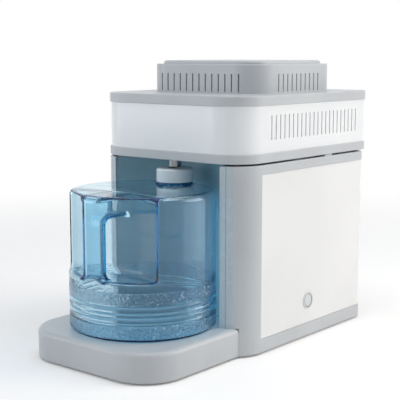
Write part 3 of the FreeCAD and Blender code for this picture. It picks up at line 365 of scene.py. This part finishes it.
# Plated steel parts
# Screws, hinge leaves, pins, stands, the motor bracket and the fin hangers are zinc
# plated steel, with a faint crystal pattern and small differences in shine.
zinc = Finish(bpy.data.materials.new("zinc_plate"))
crystals = zinc.node("ShaderNodeTexVoronoi", {"feature": "F1"}, {
    "Vector": zinc.node("ShaderNodeTexCoord", output="Object"), "Scale": 260.0}, output="Color")
crystal_tone = zinc.node("ShaderNodeSeparateColor", values={0: crystals})
dress(surface(zinc, Base_Color=shade(zinc, crystal_tone, paint("c9cccb"), paint("b4b9bb")), Metallic=1.0,
              Roughness=crystal_tone * 0.15 + grain(zinc, 300) * 0.15 + 0.2,
              Normal=relief(zinc, grain(zinc, 1200, 3), 0.02)),
      "heater_stands", "inlet_screws", "cabinet_hinge_leaves", "hinge_pins", "cabinet_screws",
      "fin_hangers", "motor_bracket", "head_hinge_leaves", "head_screws")

# Spout
# A short stainless tube with a flange drops the water into the jug's cap. Its outside is
# left satin, with fine rings from turning. Its colour is painted darker than the boiler's
# steel, as painted shade for the dark head and alcove that it reflects.
spout_steel_shaded = Finish(bpy.data.materials.new("spout_steel_shaded"))
satin = grain(spout_steel_shaded, 1600, 2, stretch=(0.1, 0.1, 1))
# Painted shade: the darker steel colour stands for the dark surroundings seen in the spout.
dress(surface(spout_steel_shaded, Base_Color=shade(spout_steel_shaded, satin, paint("8d9092"), paint("7c8083")),
              Metallic=1.0, Roughness=satin * 0.12 + 0.22, Normal=relief(spout_steel_shaded, satin, 0.01)),
      "spout_nozzle")

# Mains inlet, start button and thermostat
# Moulded black nylon with a fine matt grain, as the fan's rotor is too. The inlet is
# screwed in the rear cover, and the button slides in its bezel in front of a snap switch.
# The inlet's pins and the thermal cut-out are brass.
black_nylon = Finish(bpy.data.materials.new("black_nylon"))
nylon_grain = grain(black_nylon, 1900, 2)
nylon_cloud = grain(black_nylon, 70, 3).between(0.4, 0.8)
dress(surface(black_nylon, Base_Color=shade(black_nylon, nylon_cloud, paint("27282a"), paint("313234")),
              Roughness=grain(black_nylon, 220) * 0.15 + 0.38,
              Normal=relief(black_nylon, nylon_grain, 0.06)),
      "power_inlet", "button_bezel", "start_button", "start_switch", "thermostat", "fan_rotor")
brass = Finish(bpy.data.materials.new("brass"))
brass_lines = grain(brass, 1500, 2, stretch=(1, 0.05, 1))
brass_stain = grain(brass, 150, 3).between(0.4, 0.8)
dress(surface(brass, Base_Color=shade(brass, brass_stain, paint("d9b866"), paint("b8924a")), Metallic=1.0,
              Roughness=brass_lines * 0.2 + 0.18, Normal=relief(brass, brass_lines, 0.02)),
      "inlet_pins", "thermal_cutout")

# Wiring
# Silicone insulated leads run from a white terminal block to the heater. The insulation is
# dull red with a slight wave where it was bent by hand.
lead_skin = Finish(bpy.data.materials.new("lead_skin"))
lead_tone = shade(lead_skin, grain(lead_skin, 120, 3), paint("8c2f28"), paint("7a2721"))
dress(surface(lead_skin, Base_Color=lead_tone, Roughness=grain(lead_skin, 400) * 0.2 + 0.42,
              Normal=relief(lead_skin, grain(lead_skin, 900, 2), 0.05)), "lead_wires")

# Head wall and terminal block
# The slotted wall of the head is a separate white ABS moulding, glossier than the bands
# above and below it. The terminal block is of the same white plastic.
white_abs = Finish(bpy.data.materials.new("white_abs"))
white_cloud = grain(white_abs, 8, 3).between(0.3, 0.7)
dress(surface(white_abs, Base_Color=shade(white_abs, white_cloud, paint("eff1f2"), paint("f3f4f4")),
              Roughness=grain(white_abs, 60) * 0.1 + 0.2, Coat_Weight=0.25, Coat_Roughness=0.08,
              Normal=relief(white_abs, grain(white_abs, 260, 2), 0.02)), "head_wall", "terminal_block")

# Seals
# A silicone ring lies on the boiler's rim and a smaller one in the jug's cap. Silicone is
# soft, milky and slightly tacky, so it holds a little dust.
silicone = Finish(bpy.data.materials.new("silicone"))
lint = grain(silicone, 600, 4).between(0.55, 0.8)
dress(surface(silicone, Base_Color=shade(silicone, lint * 0.4, paint("d9dad6"), paint("c2c1ba")),
              Roughness=lint * 0.2 + 0.42, Subsurface_Weight=0.3, Subsurface_Scale=0.002,
              Normal=relief(silicone, grain(silicone, 1200, 2), 0.03)), "rim_gasket", "neck_seal")

# Fan motor
# A shaded pole motor in a pressed can, dipped in black enamel that pulled into a slight
# orange peel.
enamel = Finish(bpy.data.materials.new("black_enamel"))
enamel_cloud = grain(enamel, 90, 3).between(0.4, 0.8)
dress(surface(enamel, Base_Color=shade(enamel, enamel_cloud, paint("2a2b2e"), paint("36383b")),
              Roughness=grain(enamel, 200) * 0.15 + 0.2, Coat_Weight=0.4, Coat_Roughness=0.1,
              Normal=relief(enamel, grain(enamel, 500, 2), 0.08)), "fan_motor")

# Water jug
# A blow moulded jug of clear plastic tinted blue. A grip stands in a recess at its front,
# five grooves run round its foot between two stippled bands, and a neck rises at the back.
# Sizes are in mm, from the jug's axis and its foot. jug_height leaves out the neck.
neck_radius = 20.3
neck_wall = 2.5
neck_height = 16.0
neck_root = 12.0
neck_fillet = 1.6
bore_root = 6.0
bore_fillet = 1.0
bead_radius = 22.0
bead_height = 3.2
bead_round = 1.2
bead_root_round = 1.0
bead_fillet = 0.6
jug_low, jug_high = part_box("jug_body")
jug_foot = round(jug_low.z * 1000, 2)
jug_height = round((jug_high.z - jug_low.z) * 1000 - neck_height, 2)
jug_radius = round(jug_high.x * 1000, 2)
jug_axis = (0.0, round((jug_low.y + jug_high.y) / 2 * 1000, 2))
cap_low, cap_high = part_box("jug_cap")
neck_place = round((cap_low.y + cap_high.y) / 2 * 1000 - jug_axis[1], 2)
shoulder_radius = 8.0
heel_radius = 5.0
groove_levels = (42.1, 35.0, 29.6, 22.8, 19.7)
groove_depth = 2.1
groove_half = 1.1
recess_levels = (70.0, 167.0)
recess_back = -39.0
recess_flat = 32.0
recess_slope = 0.306
recess_bend = 3.0
recess_round = 8.0
recess_edge = 2.4
grip_half = 15.0
grip_back = -75.9
grip_round = 6.0
grip_root = 8.0
grip_overlap = 8.0
web_level = 141.8
web_round = 11.0

# The wall is thicker round the grip and in the base, and changes slowly between the two.
jug_wall = 1.8
thicker_wall = 1.2
thick_base = 60.0
base_change = 12.0
grip_change = 6.0
grip_margin = 7.0
outline_margin = 4.0


def soft_least(first, second, blend):
    """The smaller of two distances, with the corner between them rounded."""
    share = np.clip(0.5 + 0.5 * (second - first) / blend, 0, 1)
    return second + (first - second) * share - blend * share * (1 - share)


def soft_most(first, second, blend):
    """The larger of two distances, with the corner between them rounded."""
    return -soft_least(-first, -second, blend)


def jug_distance(x, y, z, deep=groove_depth):
    """Distance in mm from the jug's outside, less than 0 within it."""
    from_axis = np.hypot(x, y)
    groove = sum(deep * np.exp(-((z - level) / groove_half) ** 2) for level in groove_levels)
    corner = np.where(z > jug_height / 2, shoulder_radius, heel_radius)
    side = from_axis + groove - jug_radius + corner
    ends = np.abs(z - jug_height / 2) - jug_height / 2 + corner
    outline = (np.minimum(np.maximum(side, ends), 0)
               + np.hypot(np.maximum(side, 0), np.maximum(ends, 0)) - corner)
    slant = np.logaddexp(0, (np.abs(x) - recess_flat) / recess_bend) * recess_bend
    back = (y - recess_back + recess_slope * slant) * math.cos(math.atan(recess_slope))
    floor_and_back = soft_most(back, recess_levels[0] - z, recess_round)
    recess = soft_most(floor_and_back, z - recess_levels[1], recess_round)
    body = soft_most(outline, -recess, recess_edge)
    bar_and_web = soft_least(y - grip_back, web_level - z, web_round)
    grip_side = soft_most(bar_and_web, from_axis - jug_radius, grip_round)
    grip = soft_most(np.abs(x) - grip_half, grip_side, grip_round)
    grip = np.maximum(grip, y - recess_back - grip_overlap)
    body = np.maximum(soft_least(body, grip, grip_root), outline)
    from_neck = np.hypot(x, y - neck_place)
    root = jug_height - neck_root - z
    neck = np.maximum(from_neck - neck_radius, root)
    bead = soft_most(from_neck - bead_radius, z - jug_height - bead_height, bead_round)
    bead = soft_most(bead, root, bead_root_round)
    return soft_least(body, soft_least(neck, bead, bead_fillet), neck_fillet)


def jug_inside(x, y, z):
    """The same for the hollow inside, which has no grooves."""
    from_axis = np.hypot(x, y)
    behind_bar = np.clip((recess_back + grip_change / 2 - y) / grip_change, 0, 1)
    off_outline = np.clip((jug_radius - outline_margin - from_axis) / grip_change, 0, 1)
    near_grip = np.clip((grip_half + grip_margin - np.abs(x)) / grip_change, 0, 1)
    at_grip = behind_bar * np.maximum(off_outline, near_grip)
    at_base = np.clip((thick_base + base_change / 2 - z) / base_change, 0, 1)
    wall = jug_wall + thicker_wall * np.maximum(at_grip, at_base)
    hollow = jug_distance(x, y, z, 0) + wall
    bore = np.maximum(np.hypot(x, y - neck_place) - neck_radius + neck_wall, jug_height - bore_root - z)
    return soft_least(np.maximum(hollow, z - jug_height + jug_wall), bore, bore_fillet)


slope_reach = 0.02
evening_rounds = 5
seating_rounds = 8
furthest_move = 1.0
least_slope = 0.05


def slopes(distance, points):
    """Which way the distance grows at each point, and how fast."""
    steps = np.eye(3) * slope_reach
    return np.stack([(distance(*(points + step).T) - distance(*(points - step).T)) / (2 * slope_reach)
                     for step in steps], axis=1)


def skin(distance, lines):
    """Quads over the surface where a distance is 0. A grid of boxes finds them: a box that
    the surface crosses gets a point, which then moves on to the surface, evenly spaced."""
    grid = np.meshgrid(*lines, indexing="ij")
    inside = distance(*grid) < 0
    shape = tuple(count - 1 for count in inside.shape)
    corners = np.zeros(shape, int)
    for i in (0, 1):
        for j in (0, 1):
            for k in (0, 1):
                corners += inside[i:i + shape[0], j:j + shape[1], k:k + shape[2]]
    crossed = (corners > 0) & (corners < 8)
    number = np.full(shape, -1)
    number[crossed] = np.arange(crossed.sum())
    cells = np.argwhere(crossed)
    middles = [(line[1:] + line[:-1]) / 2 for line in lines]
    points = np.stack([middles[axis][cells[:, axis]] for axis in range(3)], axis=1)
    quads = []
    for axis in range(3):
        first, second = [other for other in range(3) if other != axis]
        here = [slice(None)] * 3
        there = [slice(None)] * 3
        here[axis] = slice(0, -1)
        there[axis] = slice(1, None)
        low, high = inside[tuple(here)], inside[tuple(there)]
        edges = np.argwhere(low != high)
        inner = ((edges[:, first] > 0) & (edges[:, first] < inside.shape[first] - 1)
                 & (edges[:, second] > 0) & (edges[:, second] < inside.shape[second] - 1))
        edges = edges[inner]
        outward = low[tuple(edges.T)]
        ring = []
        for back_first, back_second in ((1, 1), (0, 1), (0, 0), (1, 0)):
            cell = edges.copy()
            cell[:, first] -= back_first
            cell[:, second] -= back_second
            ring.append(number[tuple(cell.T)])
        ring = np.stack(ring, axis=1)
        forward = outward if axis != 1 else ~outward
        ring[~forward] = ring[~forward][:, ::-1]
        quads.append(ring)
    quads = np.concatenate(quads)
    pairs = np.concatenate([quads[:, [0, 1]], quads[:, [1, 2]], quads[:, [2, 3]], quads[:, [3, 0]]])
    pairs = np.unique(np.sort(pairs, axis=1), axis=0)
    links = np.bincount(pairs.ravel(), minlength=len(points))[:, None]
    for turn in range(seating_rounds):
        if turn < evening_rounds:
            total = np.zeros_like(points)
            np.add.at(total, pairs[:, 0], points[pairs[:, 1]])
            np.add.at(total, pairs[:, 1], points[pairs[:, 0]])
            points = (points + total / links) / 2
        slope = slopes(distance, points)
        steepness = np.maximum((slope ** 2).sum(1, keepdims=True), least_slope)
        fall = distance(*points.T)[:, None] * slope / steepness
        points = points - np.clip(fall, -furthest_move, furthest_move)
    return points, quads


# The boxes of the grid are finer over the levels of the grooves.
mesh_step = 2.1
fine_step = 0.7
fine_levels = (17.0, 45.0)
reach = jug_radius + 2 * mesh_step
grid_top = jug_height + neck_height + 4 * mesh_step
side_line = np.arange(-reach, reach + mesh_step, mesh_step)
hollow_line = np.arange(-2 * mesh_step, grid_top, mesh_step)
outside_line = np.concatenate([np.arange(-2 * mesh_step, fine_levels[0], mesh_step),
                               np.arange(*fine_levels, fine_step),
                               np.arange(fine_levels[1], grid_top, mesh_step)])
outside, outside_quads = skin(jug_distance, (side_line, side_line, outside_line))
hollow, hollow_quads = skin(jug_inside, (side_line, side_line, hollow_line))

# Both skins are cut off level at the top of the neck and joined there by a flat rim.
shell = bmesh.new()
for points, quads, flip in ((outside, outside_quads, False), (hollow, hollow_quads, True)):
    corners = [shell.verts.new((x, y, z)) for x, y, z in points]
    for quad in quads:
        shell.faces.new([corners[index] for index in (quad[::-1] if flip else quad)])
shell.verts.ensure_lookup_table()
everything = shell.verts[:] + shell.edges[:] + shell.faces[:]
cut = bmesh.ops.bisect_plane(shell, geom=everything, plane_co=(0, 0, jug_height + neck_height),
                             plane_no=(0, 0, 1), clear_outer=True)
rims = [edge for edge in cut["geom_cut"] if isinstance(edge, bmesh.types.BMEdge)]
bmesh.ops.bridge_loops(shell, edges=rims)
bmesh.ops.recalc_face_normals(shell, faces=shell.faces[:])
for corner in shell.verts:
    corner.co = ((corner.co.x + jug_axis[0]) / 1000, (corner.co.y + jug_axis[1]) / 1000,
                 (corner.co.z + jug_foot) / 1000)
for face in shell.faces:
    face.smooth = True
jug_mesh = bpy.data.meshes.new("jug_shell")
shell.to_mesh(jug_mesh)
shell.free()
jug = bpy.data.objects.new("jug_shell", jug_mesh)
bpy.context.scene.collection.objects.link(jug)

# The plastic is clear and takes its blue from its thickness. Only the outer skin is
# stippled, in two bands, and some of its dots are frosted.
blue_tint = (0.0, 0.625, 0.83, 1)
tint_per_metre = 88.0
stipple_bands = ((41.8, 58.3), (4.3, 18.8))
stipple_edge = 0.6
outer_skin = ((jug_radius - 1.1) / 1000, (jug_radius - 0.7) / 1000)
dot_strength = 0.45
clear_blue = Finish(bpy.data.materials.new("clear_blue"))
across, along, level = (clear_blue.node("ShaderNodeSeparateXYZ", values={
    0: clear_blue.node("ShaderNodeTexCoord", output="Object")}, output=axis) for axis in "XYZ")
along = along - jug_axis[1] / 1000
outer_side = (across * across + along * along).between(outer_skin[0] ** 2, outer_skin[1] ** 2)
upper_band, lower_band = (level.within((jug_foot + low) / 1000, (jug_foot + high) / 1000,
                                       stipple_edge / 1000) for low, high in stipple_bands)
stippled = (upper_band + lower_band) * outer_side
dimples = grain(clear_blue, 340, 2) * stippled
speckle = grain(clear_blue, 460, 2).between(0.42, 0.62) * stippled
waves = relief(clear_blue, grain(clear_blue, 28, 2), 0.35)
clear_tone = shade(clear_blue, grain(clear_blue, 14, 2), paint("fbfdfe"), paint("f4f9fd"))
clear_skin = clear_blue.node("ShaderNodeBsdfPrincipled", values={
    "Base Color": shade(clear_blue, speckle, clear_tone, paint("bcd6e8")),
    "Roughness": stippled * 0.16 + 0.01, "IOR": 1.42, "Transmission Weight": 1.0,
    "Normal": relief(clear_blue, dimples, 1.5, waves)})
frosted_dot = clear_blue.node("ShaderNodeBsdfPrincipled", values={
    "Base Color": paint("d5e4ee"), "Roughness": 0.35})
bright_dots = grain(clear_blue, 420, 1).between(0.55, 0.72) * stippled
stippled_skin = clear_blue.node("ShaderNodeMixShader", values={
    0: bright_dots * dot_strength, 1: clear_skin, 2: frosted_dot})
tinted = clear_blue.node("ShaderNodeVolumeAbsorption",
                         values={"Color": blue_tint, "Density": tint_per_metre})
lamp_ray = clear_blue.node("ShaderNodeLightPath", output="Is Shadow Ray")
let_through = clear_blue.node("ShaderNodeBsdfTransparent", values={"Color": paint("fafcfe")})
lit_skin = clear_blue.node("ShaderNodeMixShader", values={0: lamp_ray, 1: stippled_skin, 2: let_through})
clear_blue.node("ShaderNodeOutputMaterial", values={"Surface": lit_skin, "Volume": tinted})

# The bead round the neck is thick, so it looks dark blue from every side.
bead_levels = (0.4, 4.0)
bead_span = (neck_radius - 0.6, bead_radius + 2.0)
deep_blue = Finish(bpy.data.materials.new("deep_blue"))
surface(deep_blue, Base_Color=shade(deep_blue, grain(deep_blue, 90), paint("12588c"), paint("1d6496")),
        Roughness=0.06, Coat_Weight=0.3, Normal=relief(deep_blue, grain(deep_blue, 30), 0.05))
jug_mesh.materials.append(clear_blue.owner)
jug_mesh.materials.append(deep_blue.owner)
for face in jug_mesh.polygons:
    over_shoulder = face.center.z * 1000 - jug_foot - jug_height
    from_neck = math.hypot(face.center.x * 1000, face.center.y * 1000 - jug_axis[1] - neck_place)
    in_bead_levels = bead_levels[0] < over_shoulder < bead_levels[1]
    if in_bead_levels and bead_span[0] < from_neck < bead_span[1]:
        face.material_index = 1
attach(jug, "jug")
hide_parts("jug_body")

# Cap and filter
# The screw cap and the filter cup under it are moulded in milky white polypropylene. A
# disc of carbon felt lies in the cup.
milky = Finish(bpy.data.materials.new("milky_white"))
milky_cloud = grain(milky, 40, 3).between(0.3, 0.7)
dress(surface(milky, Base_Color=shade(milky, milky_cloud, paint("e9eff2"), paint("e2e9ee")),
              Roughness=grain(milky, 120) * 0.1 + 0.28, Subsurface_Weight=0.15, Subsurface_Scale=0.003,
              Normal=relief(milky, grain(milky, 1500, 2), 0.02)), "jug_cap", "filter_cup")
felt = Finish(bpy.data.materials.new("carbon_felt"))
fibres = grain(felt, 2200, 4, stretch=(1, 0.15, 1)) + grain(felt, 2200, 4, stretch=(0.15, 1, 1))
dress(surface(felt, Base_Color=shade(felt, fibres * 0.5, paint("1e1f21"), paint("3a3b3d")), Roughness=0.9,
              Sheen_Weight=0.3, Normal=relief(felt, fibres, 0.3)), "carbon_filter")
